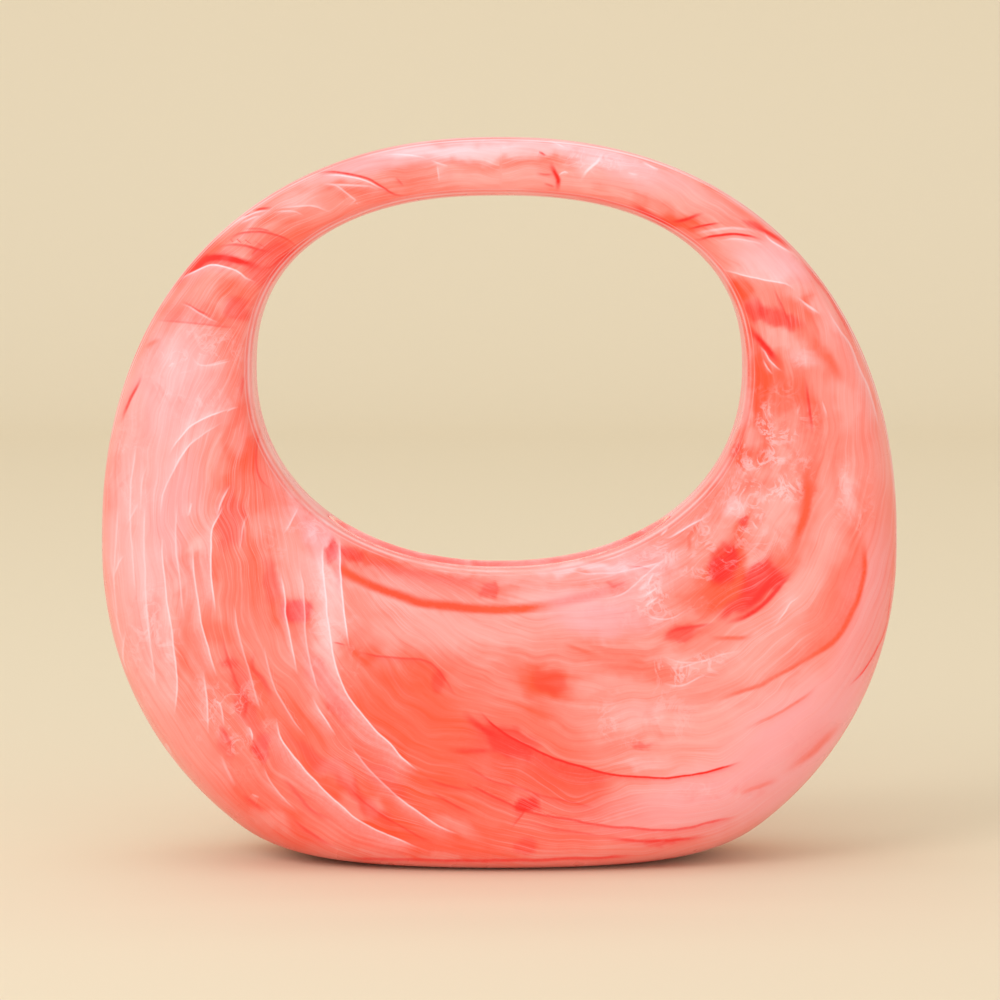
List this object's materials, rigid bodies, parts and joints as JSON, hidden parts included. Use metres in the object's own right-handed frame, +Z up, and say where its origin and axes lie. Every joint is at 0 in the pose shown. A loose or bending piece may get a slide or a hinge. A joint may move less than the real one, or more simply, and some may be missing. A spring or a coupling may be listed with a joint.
{
  "type": "rigid crescent handbag",
  "caption": "Rigid top-handle handbag of marbled acrylic: a crescent body with a large oval hand hole, a slim arched handle above it and a slot mouth in its floor.",
  "frame": {"origin": "middle of the flat base, on the surface that the bag stands on", "axes": "+Z up, +X to the right seen from the front, -Y out of the front face"},
  "size_m": [0.24, 0.0746, 0.2183],
  "materials": {
    "shell": "polished marbled coral acrylic, translucent",
    "collar": "polished coral-red acrylic, translucent"
  },
  "bodies": {
    "root": {"front_shell": "shell", "back_shell": "shell", "mouth_collar": "collar"}
  },
  "joints": []
}
